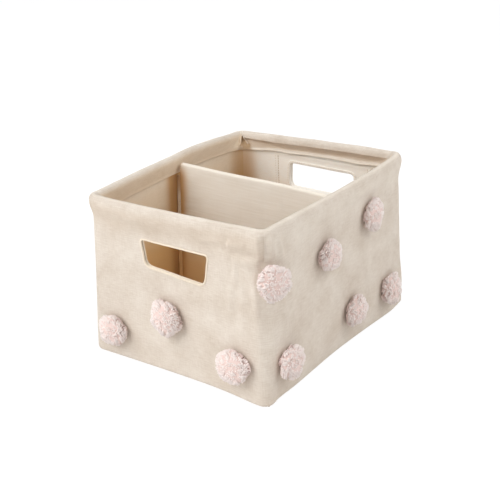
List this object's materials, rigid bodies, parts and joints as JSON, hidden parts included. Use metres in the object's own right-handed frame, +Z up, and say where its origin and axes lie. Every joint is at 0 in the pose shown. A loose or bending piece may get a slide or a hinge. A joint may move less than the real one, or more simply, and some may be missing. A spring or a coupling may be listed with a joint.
{
  "type": "diaper caddy",
  "caption": "Open canvas box with a wire-framed rolled rim, a sewn-in divider, bound handle openings and yarn pompoms.",
  "frame": {"origin": "middle of the base, on the surface it stands on", "axes": "+Z up, +Y from the front handle face to the back one, +X across the handle faces, towards the right wall"},
  "size_m": [0.2598, 0.313, 0.178],
  "materials": {
    "canvas": "natural cream cotton and linen canvas with a slubbed plain weave, matte",
    "lining": "the same cloth inside, warmer where it lies in shade, matte",
    "binding": "folded cream cotton tape round the handle openings",
    "board": "stiff pressed-fibre board inside the walls, hidden",
    "yarn": "cut ends of pale blush yarn, fluffy and matte",
    "wire": "drawn steel wire, hidden in the rim"
  },
  "bodies": {
    "root": {"back_handle_binding": "binding", "back_handle_facing": "lining", "back_lining": "lining", "back_panel": "canvas", "back_stiffener": "board", "base_board": "board", "bottom_panel": "canvas", "divider_board": "board", "divider_cover": "lining", "divider_web_left": "lining", "divider_web_right": "lining", "floor_lining": "lining", "front_handle_binding": "binding", "front_handle_facing": "lining", "front_lining": "lining", "front_panel": "canvas", "front_stiffener": "board", "left_lining": "lining", "left_panel": "canvas", "left_stiffener": "board", "pompom_back_1": "yarn", "pompom_back_2": "yarn", "pompom_back_3": "yarn", "pompom_front_1": "yarn", "pompom_front_2": "yarn", "pompom_front_3": "yarn", "pompom_left_1": "yarn", "pompom_left_2": "yarn", "pompom_left_3": "yarn", "pompom_left_4": "yarn", "pompom_left_5": "yarn", "pompom_left_6": "yarn", "pompom_right_1": "yarn", "pompom_right_2": "yarn", "pompom_right_3": "yarn", "pompom_right_4": "yarn", "pompom_right_5": "yarn", "pompom_right_6": "yarn", "right_lining": "lining", "right_panel": "canvas", "right_stiffener": "board", "rim_wire": "wire"}
  },
  "joints": []
}
